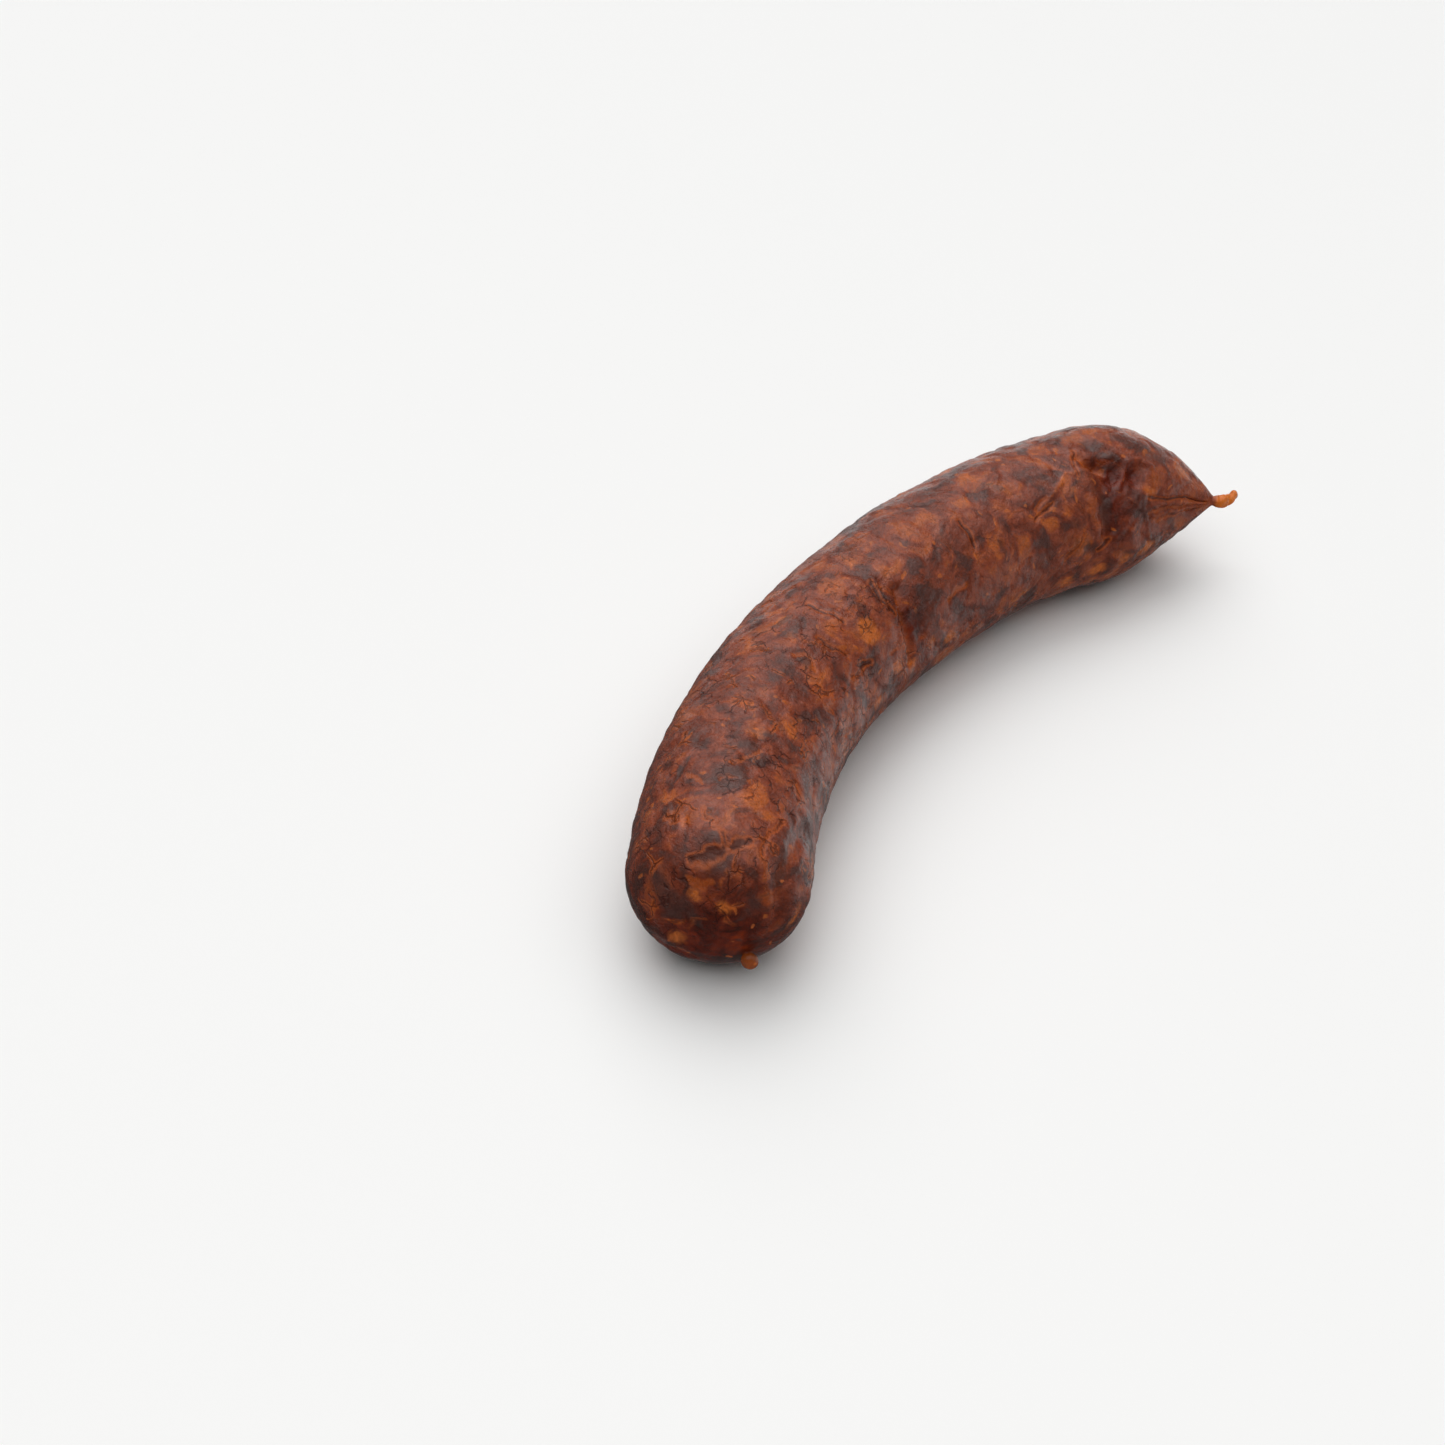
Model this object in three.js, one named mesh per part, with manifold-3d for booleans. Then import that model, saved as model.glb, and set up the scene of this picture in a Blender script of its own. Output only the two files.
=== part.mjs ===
// A cured sausage in its natural casing, lying on its side on a table top.
// Millimetres, +Z up. The origin is on the table, under the middle of the sausage, and the two ends
// are along X. The sausage is one solid: the cured meat, the casing that has dried onto it, and the
// twisted casing at each end, which is the same skin pinched shut.
import * as THREE from "three";
import { mergeVertices } from "three/addons/utils/BufferGeometryUtils.js";
import Module from "manifold-3d";

// ---- the body ----
const BODY_DIAMETER = 40;
const BODY_LENGTH = 225.6; // along the spine, from the pole of the blunt end to the pinched end
const WAIST_DEPTH = 0.3; // the middle is a little slimmer than the two shoulders
const WAIST_AT = 88; // along the spine
const WAIST_REACH = 42;
const REST_WIDTH = 12; // the strip that the sausage has settled onto

// ---- the blunt end and the pinched end ----
const CAP_LENGTH = 17.8;
const CAP_SQUARENESS = 2.5; // 2 is a half sphere, more is fuller
const KNOT_TILT = 35; // degrees from the spine's own end to the knot, over the blunt end
const KNOT_SIDE = 230; // degrees round the body: 90 is the top and 180 the inside of the bend
const TAPER_LENGTH = 38.5;
const TAPER_FULLNESS = 2.1; // 1 is a cone, more is rounder

// ---- the twisted casing at each end ----
const NECK_RADIUS = 1.15;
const KNOT_RADIUS = 1.75;
const KNOT_LENGTH = 3.4;
const TAIL_BEADS = [
  { length: 3.0, radius: 1.6 },
  { length: 4.4, radius: 1.2 },
];

// ---- the spine, seen from above: bends that run on from each other, to the right where positive ----
const START_HEADING = 48.4; // degrees from +X
const BENDS = [
  { share: 0.304, radius: 140 },
  { share: 0.388, radius: 190 },
  { share: 0.156, radius: 109 },
  { share: 0.152, radius: 64 },
];
const TAIL_TURN = 60; // degrees, back to the left
const TAIL_TURN_LENGTH = 4;

// ---- hollows and pleats in the skin: where along the spine, where round the body ----
const HOLLOWS = [
  { fromTip: 34, side: 124, length: 9, width: 30, depth: 2.4 },
  { fromTip: 20, side: 162, length: 12, width: 34, depth: 1.3 },
  { fromTip: 112, side: 155, length: 8, width: 40, depth: 1.0 },
];
const PLEATS = 7;
const PLEAT_SHARE = 0.055; // of the radius, close to the pinched end
const PLEAT_REACH = 26;

// ---- how finely the skin is faceted ----
const SIDES = 48;
const BODY_STEP = 4.4;
const END_STEPS = 9;
const BEAD_STEPS = 5;

const BODY_RADIUS = BODY_DIAMETER / 2;
const TAIL_LENGTH = TAIL_BEADS.reduce((sum, bead) => sum + bead.length, 0);
const AXIS_HEIGHT = Math.sqrt(BODY_RADIUS ** 2 - (REST_WIDTH / 2) ** 2);
const radians = THREE.MathUtils.degToRad;

// The radius of the body without its ends.
function bodyRadius(along) {
  const off = (along - WAIST_AT) / WAIST_REACH;
  return BODY_RADIUS - WAIST_DEPTH * Math.exp(-off * off);
}

// A row of positions that crowd together towards both ends, as the round ends of a bead need.
function crowded(start, length, steps) {
  return Array.from({ length: steps + 1 }, (_, i) => start + (length * (1 - Math.cos((Math.PI * i) / steps))) / 2);
}

// A bead of twisted casing: an ellipse that never gets thinner than the neck, except at a free end.
function beadRadius(along, start, { length, radius }, freeEnd) {
  const across = (along - start) / length; // 0 to 1
  const round = radius * Math.sqrt(Math.max(0, 1 - (2 * across - 1) ** 2));
  const free = freeEnd === "first" ? across < 0.5 : freeEnd === "last" && across > 0.5;
  return free ? round : Math.max(round, NECK_RADIUS);
}

// The outline of the straight sausage, as points (radius, place along the spine), from the knot to the tail.
function outline() {
  const points = [];
  const add = (along, radius) => points.push(new THREE.Vector2(radius, along));
  const knot = { length: KNOT_LENGTH, radius: KNOT_RADIUS };
  for (const along of crowded(-KNOT_LENGTH, KNOT_LENGTH, BEAD_STEPS)) {
    add(along, beadRadius(along, -KNOT_LENGTH, knot, "first"));
  }
  for (let i = 1; i <= END_STEPS; i++) {
    const angle = (Math.PI / 2) * (i / END_STEPS);
    const along = CAP_LENGTH * (1 - Math.cos(angle));
    const share = (1 - Math.cos(angle) ** CAP_SQUARENESS) ** (1 / CAP_SQUARENESS);
    add(along, Math.max(NECK_RADIUS, bodyRadius(along) * share));
  }
  const taperStart = BODY_LENGTH - TAPER_LENGTH;
  const bodySteps = Math.ceil((taperStart - CAP_LENGTH) / BODY_STEP);
  for (let i = 1; i <= bodySteps; i++) {
    const along = THREE.MathUtils.lerp(CAP_LENGTH, taperStart, i / bodySteps);
    add(along, bodyRadius(along));
  }
  const taperSteps = Math.ceil(TAPER_LENGTH / (BODY_STEP * 0.75));
  for (let i = 1; i < taperSteps; i++) {
    const share = i / taperSteps;
    const along = taperStart + TAPER_LENGTH * share;
    add(along, Math.max(NECK_RADIUS, bodyRadius(along) * (1 - share ** TAPER_FULLNESS)));
  }
  let start = BODY_LENGTH;
  TAIL_BEADS.forEach((bead, i) => {
    const freeEnd = i === TAIL_BEADS.length - 1 ? "last" : "none";
    const places = crowded(start, bead.length, BEAD_STEPS);
    for (const along of i ? places.slice(1) : places) add(along, beadRadius(along, start, bead, freeEnd));
    start += bead.length;
  });
  points[0].x = 0;
  points[points.length - 1].x = 0;
  return points;
}

// The spine as one path of arcs, from the blunt end's pole to the end of the tail.
function spinePath() {
  const path = new THREE.Path();
  const at = new THREE.Vector2();
  let heading = radians(START_HEADING);
  const bend = (length, radius, right) => {
    const side = right ? -1 : 1;
    const centre = new THREE.Vector2(-Math.sin(heading), Math.cos(heading)).multiplyScalar(side * radius).add(at);
    const from = heading - (side * Math.PI) / 2;
    const to = from + (side * length) / radius;
    path.absarc(centre.x, centre.y, radius, from, to, right);
    at.set(centre.x + radius * Math.cos(to), centre.y + radius * Math.sin(to));
    heading += (side * length) / radius;
  };
  for (const { share, radius } of BENDS) bend(BODY_LENGTH * share, radius, true);
  bend(TAIL_TURN_LENGTH, TAIL_TURN_LENGTH / radians(TAIL_TURN), false);
  const rest = TAIL_LENGTH - TAIL_TURN_LENGTH;
  path.lineTo(at.x + rest * Math.cos(heading), at.y + rest * Math.sin(heading));
  return path;
}

// How far a hollow pushes the skin in at one place.
function hollowDepth(along, side, hollow) {
  const lengthwise = (along - (BODY_LENGTH - hollow.fromTip)) / hollow.length;
  const crosswise = (((side - hollow.side + 540) % 360) - 180) / hollow.width;
  return hollow.depth * Math.exp(-lengthwise * lengthwise - crosswise * crosswise);
}

// The skin's radius at one place, with its hollows and the pleats that run into the pinched end.
function skinRadius(along, side, radius) {
  const sunk = HOLLOWS.reduce((sum, hollow) => sum + hollowDepth(along, side, hollow), 0);
  const near = THREE.MathUtils.clamp((along - (BODY_LENGTH - PLEAT_REACH)) / PLEAT_REACH, 0, 1);
  const onBody = along < BODY_LENGTH ? 1 : 0;
  const pleat = PLEAT_SHARE * near * Math.cos(PLEATS * radians(side)) * onBody;
  return radius * (1 + pleat) - Math.min(sunk, radius * 0.3);
}

// The distance from the middle of the blunt end to its skin, in one direction: the direction's share along
// the spine, and its share away from the spine.
function capReach(lengthwise, crosswise) {
  const sum = (Math.abs(lengthwise) / CAP_LENGTH) ** CAP_SQUARENESS + (crosswise / BODY_RADIUS) ** CAP_SQUARENESS;
  return sum ** (-1 / CAP_SQUARENESS);
}

// Leans the skin's rings on the blunt end over towards the knot, more and more up to the knot itself. The
// end keeps its round shape. The arm runs from the end's middle: X to the outside of the bend, Y up, Z along.
function leanToKnot(arm, along) {
  const tilt = radians(KNOT_TILT) * THREE.MathUtils.smoothstep(CAP_LENGTH - along, 0, CAP_LENGTH);
  const axis = new THREE.Vector3(-Math.sin(radians(KNOT_SIDE)), Math.cos(radians(KNOT_SIDE)), 0);
  const straight = arm.clone().normalize();
  const above = arm.length() - capReach(straight.z, Math.hypot(straight.x, straight.y));
  const leaned = straight.applyAxisAngle(axis, tilt);
  return leaned.multiplyScalar(above + capReach(leaned.z, Math.hypot(leaned.x, leaned.y)));
}

// Carries a place on the straight sausage onto the bent one.
function placer(path) {
  const whole = path.getLength();
  return (along, side, radius) => {
    const share = THREE.MathUtils.clamp(along, CAP_LENGTH, whole) / whole;
    const flat = path.getPointAt(share);
    const tangent = path.getTangentAt(share);
    let arm = new THREE.Vector3(radius * Math.cos(side), radius * Math.sin(side), Math.max(0, CAP_LENGTH - along));
    if (along < CAP_LENGTH) arm = leanToKnot(arm, along);
    return new THREE.Vector3(
      flat.x - tangent.y * arm.x - tangent.x * arm.z,
      flat.y + tangent.x * arm.x - tangent.y * arm.z,
      AXIS_HEIGHT + arm.y,
    );
  };
}

// The whole skin as one closed shape: turned straight, then carried onto the spine.
function skinGeometry() {
  const geometry = new THREE.LatheGeometry(outline(), SIDES);
  const place = placer(spinePath());
  const position = geometry.getAttribute("position");
  for (let i = 0; i < position.count; i++) {
    const along = position.getY(i);
    const radius = Math.hypot(position.getX(i), position.getZ(i));
    const side = radius > 1e-4 ? Math.atan2(position.getX(i), position.getZ(i)) : 0;
    const degrees = THREE.MathUtils.radToDeg(side);
    const point = place(along, side, radius > 1e-4 ? skinRadius(along, degrees, radius) : 0);
    position.setXYZ(i, point.x, point.y, point.z);
  }
  return geometry;
}

const wasm = await Module();
wasm.setup();

function toSolid(geometry) {
  const bare = geometry.clone();
  bare.deleteAttribute("normal");
  bare.deleteAttribute("uv");
  const merged = mergeVertices(bare, 1e-3);
  const vertProperties = merged.getAttribute("position").array;
  return new wasm.Manifold(new wasm.Mesh({ numProp: 3, vertProperties, triVerts: new Uint32Array(merged.index.array) }));
}

function toGeometry(solid) {
  const mesh = solid.getMesh();
  const geometry = new THREE.BufferGeometry();
  geometry.setAttribute("position", new THREE.BufferAttribute(new Float32Array(mesh.vertProperties), 3));
  geometry.setIndex(new THREE.BufferAttribute(new Uint32Array(mesh.triVerts), 1));
  geometry.computeVertexNormals();
  return geometry;
}

// The sausage, settled onto the table: the slab under the table top is cut away from it.
function sausageGeometry() {
  const skin = skinGeometry();
  skin.computeBoundingBox();
  const middle = skin.boundingBox.getCenter(new THREE.Vector3());
  skin.translate(-middle.x, -middle.y, 0);
  const slab = new THREE.BoxGeometry(2 * BODY_LENGTH, 2 * BODY_LENGTH, BODY_DIAMETER);
  slab.translate(0, 0, -BODY_DIAMETER / 2);
  return toGeometry(toSolid(skin).subtract(toSolid(slab)));
}

const curedMeat = new THREE.MeshStandardMaterial({ color: 0x6b2a1a, roughness: 0.45, metalness: 0 });

const sausage = new THREE.Mesh(sausageGeometry(), curedMeat);
sausage.name = "cured_sausage";

const part = new THREE.Group();
part.add(sausage);

export default part;
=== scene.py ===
"""A cured sausage in its natural casing, laid out as a Blender add-on.

The sausage lies on its side on a table top. It is one piece: the paprika-red cured meat, the dried
casing on it, a small knot at the blunt end and a twisted tail at the pinched end. A place on its
skin is given by how far it is along the spine, in millimetres from the pole of the blunt end, and
how far it is round the body: 0 degrees is the outside of the bend, 90 the top, 180 the inside.
"""

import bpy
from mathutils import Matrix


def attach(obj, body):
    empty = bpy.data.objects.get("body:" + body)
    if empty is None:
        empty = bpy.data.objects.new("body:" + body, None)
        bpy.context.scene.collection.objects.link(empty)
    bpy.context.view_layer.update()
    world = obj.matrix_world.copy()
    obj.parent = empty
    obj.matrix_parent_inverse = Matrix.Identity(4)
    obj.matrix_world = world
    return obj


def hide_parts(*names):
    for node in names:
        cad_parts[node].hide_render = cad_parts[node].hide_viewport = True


bl_info = {
    "name": "Cured Sausage",
    "version": (1, 0, 0),
    "blender": (4, 5, 0),
    "location": "View3D > Sidebar > Cured Sausage",
    "description": "Builds a cured sausage in its natural casing, and a table top to show it on",
    "category": "Object",
}

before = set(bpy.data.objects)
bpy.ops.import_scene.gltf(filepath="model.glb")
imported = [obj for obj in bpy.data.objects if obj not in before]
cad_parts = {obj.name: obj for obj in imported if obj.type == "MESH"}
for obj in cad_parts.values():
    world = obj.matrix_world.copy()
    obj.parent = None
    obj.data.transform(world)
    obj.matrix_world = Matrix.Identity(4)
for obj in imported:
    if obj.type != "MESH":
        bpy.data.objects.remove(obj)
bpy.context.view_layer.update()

import math

import bmesh
import bpy
import numpy as np
from mathutils import Matrix, Vector, noise

NODE = "cured_sausage"
MM = 0.001

# ---- the spine and the straight sausage, in millimetres and degrees ----
START_HEADING = 48.4
SPINE_BENDS = (  # share of the length, radius
    (0.304, 140.0),
    (0.388, 190.0),
    (0.156, 109.0),
    (0.152, 64.0),
)
TAIL_TURN = 60.0
TAIL_TURN_LENGTH = 4.0
WAIST_DEPTH, WAIST_AT, WAIST_REACH = 0.3, 88.0, 42.0
REST_WIDTH = 12.0  # the strip that the sausage has settled onto
CAP_SQUARENESS = 2.5
TAPER_FULLNESS = 2.1
NECK_RADIUS = 1.15
KNOT_SIDE, KNOT_TILT = 230.0, 35.0
TAIL_BEADS = ((3.0, 1.6), (4.4, 1.2))  # length, radius
TWIST, TWIST_PER_MM = 0.16, 1.5  # the tail's twist: share of its radius, radians
NIP, NIP_AT, NIP_REACH = 0.25, 5.1, 0.5  # a narrow place on the tail: share of its radius

# ---- how finely the skin is faceted: about half a millimetre each way ----
SIDES = 224
RINGS = 424
FINE_PLACES = 40001  # how many places the length over the skin is measured at
END_CROWDING = 2.2  # how much closer the rings stand on the knot and the tail

# ---- random relief, in millimetres; the seeds set which of the fields is drawn ----
LUMPS = ((0.50, 22, 3, 1), (0.30, 8, 4, 2), (0.13, 3.4, 5, 2))  # height, size, seed, octaves
SEED_STEPS = (17.3, 5.9, 11.1)
FIELD_FALL, FIELD_STEP = 0.8, 2.1  # how fast the finer octaves get weaker and smaller
SWAY_SIZE, SWAY_ALONG, SWAY_SIDE = 3.2, 0.75, 2.2  # how the drawn lines wander: size, mm, degrees
SWAY_SEEDS = (1, 2)
VALLEYS, VALLEY_SIZE, VALLEY_SEED = 0.22, 6.5, 6
VALLEY_STRETCH = (1, 1, 1.3)  # over 1 is shorter that way
CRUMPLE, CRUMPLE_SIZE, CRUMPLE_SEED = 0.55, 4.5, 7  # in the hollows alone
CRUMPLE_DROP = 0.2  # and how much lower they lie for it
SPREAD_SIZE, SPREAD_SEED = 8, 8
FULLY_SUNK = 2.6  # a hollow of this depth gets the full painted shade

# ---- a crease's turned-up lips, and its painted shade ----
LIP_HEIGHT = 0.14  # of the crease's depth, up to DARK_DEPTH
LIP_AT, LIP_WIDTH = 1.7, 0.6  # in half widths of the crease
DARK_DEPTH = 0.6  # a crease of this depth gets the darkest painted shade
DARK_HALF_WIDTH = 0.8  # a wider crease is a valley and gets less painted shade
THIN_FOLD, FOLD_FAT = 0.75, 0.42  # folds with less half width are painted in the fat's colour along their ridge
KNOT_BARE = 0.28  # how much of the knot's colour is the bare casing's
CRACKED_LEAST, CRACKED_FADE = 0.25, (85, 125)  # the blunt half has dried harder and cracked most

# ---- pleats where the casing is gathered, and ripples inside the bend: height, number round ----
TAIL_PLEATS, TAIL_PLEAT_COUNT, TAIL_PLEAT_REACH = 0.14, 9, 24
KNOT_PLEATS, KNOT_PLEAT_COUNT, KNOT_PLEAT_REACH = 0.16, 13, 12
RIPPLES, RIPPLE_COUNT, RIPPLE_SLANT = 0.28, 11, 0.12
RIPPLE_PATCH = (26.0, 178.0, 16.0, 34.0, 1.0)  # along, side, length, width, strength
TAIL_PLEAT_WANDER, KNOT_PLEAT_WANDER, RIPPLE_WANDER = 2.2, 1.6, 1.5  # radians
TAIL_SWELL = 0.16  # added all round the tail
COLLAR, COLLAR_AT, COLLAR_REACH = 0.5, 0.3, 0.9  # the thick first turn of the tail

# ---- hollows where the meat has shrunk under the casing: along, side, length, width, depth ----
HOLLOWS = (
    (193.5, 121.0, 8.0, 17.0, 1.9),
    (190.8, 121.0, 2.7, 10.0, 1.7),
    (198.8, 121.0, 2.7, 9.0, 1.5),
    (185.6, 109.0, 2.4, 5.0, 1.7),
    (204.0, 160.0, 12.0, 30.0, 1.1),
    (188.0, 150.0, 5.0, 26.0, 0.9),
    (179.0, 172.0, 3.0, 6.0, 0.5),
    (108.0, 150.0, 5.0, 24.0, 1.1),
    (83.0, 150.0, 5.0, 16.0, 0.6),
    (8.8, 81.0, 3.0, 14.0, 0.45),
    (127.0, 160.0, 6.0, 20.0, 0.4),
)

# ---- swellings where a lump of meat or fat stands proud: along, side, length, width, height ----
SWELLINGS = (
    (96.0, 128.0, 7.0, 18.0, 0.5),
    (118.0, 128.0, 8.0, 22.0, 0.5),
    (176.0, 122.0, 8.0, 18.0, 0.6),
    (196.0, 183.0, 4.0, 12.0, 0.6),
    (203.0, 188.0, 4.0, 12.0, 0.5),
    (188.0, 186.0, 3.5, 10.0, 0.5),
    (205.0, 35.0, 14.0, 60.0, 1.1),
    (14.0, 250.0, 12.0, 50.0, 0.8),
)

# ---- creases: depth, half width, then the places (along, side) that the line runs through ----
CREASES = (
    (0.62, 0.75, ((9.6, 66), (9.8, 83), (10.3, 93), (11.3, 100), (11.6, 108))),
    (0.45, 0.60, ((13.1, 85), (12.1, 90), (10.6, 90))),
    (0.40, 0.60, ((16.8, 78), (14.8, 78), (14.3, 85))),
    (0.40, 0.60, ((15.8, 57), (14.6, 67))),
    (0.30, 0.55, ((7.8, 60), (7.0, 66), (7.1, 75))),
    (0.60, 0.70, ((87.9, 86), (87.1, 95), (88.4, 105), (88.1, 112))),
    (0.85, 0.90, ((79.1, 107), (79.4, 116), (81.1, 128))),
    (0.70, 0.75, ((83.1, 141), (87.6, 146))),
    (0.45, 0.60, ((77.9, 141), (82.4, 145))),
    (0.60, 0.65, ((104.6, 106), (102.6, 119), (103.4, 134))),
    (1.25, 1.6, ((108.9, 124), (106.6, 135), (105.4, 146), (104.4, 160), (103.0, 172))),
    (0.32, 0.75, ((122.7, 153), (126.2, 149), (130.7, 151))),
    (0.40, 0.60, ((62.6, 136), (64.4, 145))),
    (0.40, 0.65, ((64.4, 163), (70.4, 170))),
    (0.30, 0.55, ((94.7, 153), (103.2, 157))),
    (0.35, 0.55, ((69.6, 99), (72.4, 104), (72.1, 112), (69.6, 117))),
    (0.65, 0.70, ((139.4, 110), (138.7, 120), (138.7, 131))),
    (1.20, 1.25, ((182.6, 101), (185.0, 108), (188.0, 114))),
    (0.95, 2.2, ((188.0, 112), (185.6, 128), (184.5, 149), (184.8, 166))),
    (0.60, 0.90, ((203.0, 141), (209.3, 146), (216.3, 142), (221.5, 152))),
    (0.32, 0.70, ((203.0, 156), (210.0, 156), (219.0, 156))),
    (0.30, 0.70, ((206.0, 168), (214.0, 169), (221.0, 168))),
    (0.35, 0.55, ((30.3, 92), (33.1, 99), (36.6, 107))),
    (0.30, 0.55, ((27.3, 64), (26.1, 71), (23.8, 74))),
    (0.45, 0.60, ((10.1, 114), (13.6, 120), (17.8, 131))),
    (0.95, 2.00, ((3.8, 124), (6.6, 122), (10.1, 137), (24.1, 154))),
    (0.45, 0.65, ((182.8, 94), (180.0, 106), (180.0, 114))),
    (0.45, 0.65, ((160.5, 135), (168.5, 129))),
    (0.35, 0.60, ((162.0, 129), (167.5, 123))),
    (0.55, 0.75, ((181.0, 174), (185.8, 169))),
    (0.40, 0.70, ((169.0, 173), (172.5, 168), (176.0, 161))),
)

# ---- raised folds of loose casing, in the same form, with a height in place of the depth ----
FOLDS = (
    (0.55, 0.85, ((105.6, 104), (104.0, 118), (105.4, 133))),
    (0.40, 0.70, ((163.0, 133), (169.7, 122), (176.5, 111), (183.5, 114))),
    (0.35, 0.70, ((181.5, 89), (182.3, 95), (180.2, 107))),
    (0.95, 1.00, ((197.5, 112), (194.8, 121), (191.5, 131))),
    (0.70, 0.95, ((189.0, 106), (193.0, 104), (196.0, 111), (200.8, 107), (204.0, 114))),
    (0.22, 0.60, ((189.8, 132), (197.0, 145), (201.0, 156), (203.0, 180))),
    (0.55, 1.20, ((181.0, 173), (185.3, 170), (190.0, 165))),
    (0.45, 0.80, ((200.0, 151), (208.0, 151), (215.0, 150), (221.5, 158))),
    (0.40, 0.80, ((204.0, 160), (209.0, 161), (217.5, 162), (222.0, 166))),
)

# ---- patches that show through the casing: along, side, length, width, strength ----
# Lumps of fat.
FAT_PATCHES = (
    (91.7, 129.0, 3.4, 9.0, 1.7),
    (86.0, 178.0, 2.6, 6.0, 0.9),
    (104.0, 178.0, 2.4, 6.0, 1.0),
    (121.0, 180.0, 3.0, 6.0, 0.8),
    (152.0, 186.0, 4.0, 6.0, 0.7),
    (64.0, 178.0, 2.6, 6.0, 0.7),
    (18.0, 172.0, 5.0, 6.0, 0.9),
    (2.8, 152.0, 2.0, 8.0, 0.9),
    (3.8, 75.0, 1.1, 9.0, 0.8),
    (6.3, 58.0, 1.0, 7.0, 0.8),
    (3.6, 12.0, 1.2, 14.0, 0.8),
    (4.8, 268.0, 1.2, 10.0, 0.7),
    (42.0, 100.0, 3.0, 9.0, 0.7),
    (20.6, 35.0, 2.0, 8.0, 0.6),
    (97.0, 166.0, 3.0, 7.0, 0.8),
    (113.0, 172.0, 3.0, 8.0, 0.6),
    (48.0, 118.0, 4.0, 12.0, 0.6),
    (75.0, 92.0, 3.0, 11.0, 0.4),
    (175.0, 124.0, 3.4, 7.0, 0.5),
    (171.0, 197.0, 4.0, 7.0, 0.9),
    (182.5, 194.0, 3.5, 7.0, 1.0),
    (192.0, 190.0, 2.5, 8.0, 0.8),
    (203.0, 192.0, 6.0, 9.0, 0.85),
    (203.0, 138.0, 3.6, 8.0, 0.7),
    (215.0, 101.0, 4.0, 14.0, 0.7),
)
# Dry dark lean meat.
LEAN_PATCHES = (
    (37.0, 97.0, 2.6, 8.0, 0.8),
    (71.0, 107.0, 3.0, 8.0, 0.9),
    (8.6, 80.0, 2.4, 14.0, 0.9),
    (11.4, 101.0, 1.8, 6.0, 0.7),
    (5.6, 40.0, 2.4, 14.0, 1.0),
    (9.1, 37.0, 2.4, 9.0, 0.9),
    (3.6, 100.0, 1.6, 10.0, 0.9),
    (22.1, 92.0, 2.6, 7.0, 0.6),
    (32.3, 108.0, 2.6, 7.0, 0.6),
    (111.0, 147.0, 5.0, 20.0, 0.8),
    (131.0, 118.0, 3.0, 12.0, 0.5),
    (173.5, 165.0, 3.0, 7.0, 0.8),
    (179.5, 172.0, 2.6, 6.0, 0.9),
    (185.0, 148.0, 2.6, 20.0, 0.8),
    (188.0, 90.0, 3.6, 8.0, 0.8),
    (207.0, 100.0, 3.4, 10.0, 0.9),
)
# Painted shade, which also makes these places glossier: round the knot, low on the blunt end, the
# outer side, the valleys.
PAINTED_SHADE_PATCHES = (
    (-1.0, 230.0, 2.2, 400.0, 0.9),
    (3.0, 60.0, 4.5, 75.0, 0.9),
    (4.0, 270.0, 7.0, 70.0, 0.8),
    (30.0, 355.0, 40.0, 42.0, 0.65),
    (107.5, 148.0, 4.5, 26.0, 0.75),
    (187.0, 150.0, 7.0, 34.0, 0.45),
)


def linear(hex_colour):
    """A colour for Blender, from an sRGB hex value such as 6b2a1a."""
    parts = [int(hex_colour[i : i + 2], 16) / 255 for i in (0, 2, 4)]
    parts = [c / 12.92 if c <= 0.04045 else ((c + 0.055) / 1.055) ** 2.4 for c in parts]
    return (*parts, 1.0)


def length_property(name, description, default):
    return bpy.props.FloatProperty(
        name=name, description=description, default=default, unit="LENGTH", precision=5
    )


def colour_property(name, description, hex_colour):
    return bpy.props.FloatVectorProperty(
        name=name,
        description=description,
        default=linear(hex_colour),
        subtype="COLOR",
        size=4,
        min=0,
        max=1,
    )


class SausageSizes(bpy.types.PropertyGroup):
    diameter: length_property("Body diameter", "Thickness of the body", 0.040)
    length: length_property(
        "Body length", "Along the spine, from the blunt pole to the pinched end", 0.2256
    )
    cap_length: length_property("Blunt end length", "Depth of the round end", 0.0178)
    taper_length: length_property("Taper length", "How far the pinched end draws in", 0.0385)
    knot_length: length_property("Knot length", "How far the knot of casing stands out", 0.0034)
    knot_radius: length_property("Knot radius", "Radius of the knot of casing", 0.00175)
    wrinkling: bpy.props.FloatProperty(
        name="Wrinkling",
        description="How strongly the skin is lumped and creased",
        default=1.0,
        subtype="FACTOR",
    )


class SausageLooks(bpy.types.PropertyGroup):
    lean: colour_property("Lean meat", "Cured lean meat under the casing", "733624")
    paprika: colour_property("Paprika meat", "Meat reddened with paprika", "8c452e")
    fat: colour_property("Fat", "Fat stained by the paprika", "b9602a")
    dark: colour_property("Dark lean", "Dry dark lean meat", "4a312c")
    # Partly the cracks' own dark colour and partly painted shade at the bottom of the creases.
    crease: colour_property("Creases", "The bottom of a crease in the casing", "3c0f05")
    lip: colour_property("Crease lips", "The turned-up edges of a crack in the casing", "bc5a22")
    # Painted shade: the colour that the hollows, the valleys and the shaded places are multiplied
    # by.
    painted_shade: colour_property("Painted shade colour", "What hollows and oily places are darkened by", "b38162")
    casing: colour_property("Bare casing", "Dried casing of the knot and the tail", "d8742a")
    roughness: bpy.props.FloatProperty(
        name="Roughness",
        description="Roughness of the dried casing",
        default=0.25,
        min=0,
        max=1,
        subtype="FACTOR",
    )


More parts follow.
